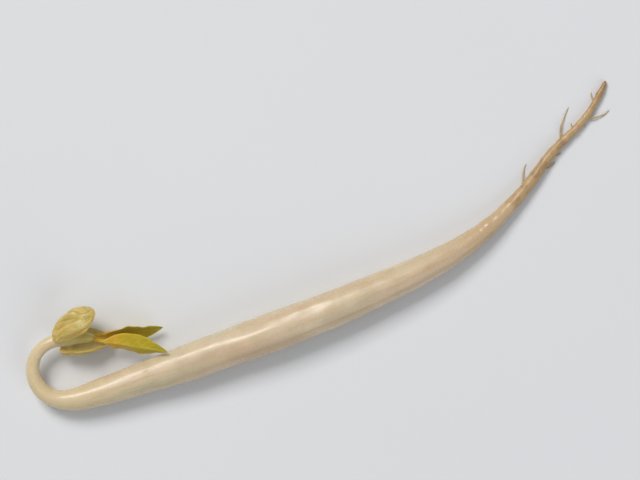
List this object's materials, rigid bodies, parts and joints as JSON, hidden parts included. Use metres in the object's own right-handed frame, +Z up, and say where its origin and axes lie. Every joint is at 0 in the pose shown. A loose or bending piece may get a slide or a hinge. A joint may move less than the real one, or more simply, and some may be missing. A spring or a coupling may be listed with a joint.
{
  "type": "mung bean sprout",
  "caption": "Fresh bean sprout lying on its side, with a plump pale stem, thin curved root, hooked neck, shrunken seed leaves and small yellow-green first leaves.",
  "frame": {"origin": "bottom centre of the bounding box, on the surface that the sprout lies on", "axes": "+X along the stem from the hooked head to the root tip, +Y towards the side that the hook and the root curve to, +Z up from the surface"},
  "size_m": [0.0786, 0.0168, 0.0059],
  "materials": {
    "stem_white": null,
    "seed_leaf_tan": null,
    "leaf_yellow": null
  },
  "bodies": {
    "root": {"stem_with_root": "stem_white", "seed_leaf_upper": "seed_leaf_tan", "seed_leaf_lower": "seed_leaf_tan", "first_leaf_inner": "leaf_yellow", "first_leaf_outer": "leaf_yellow"}
  },
  "joints": []
}
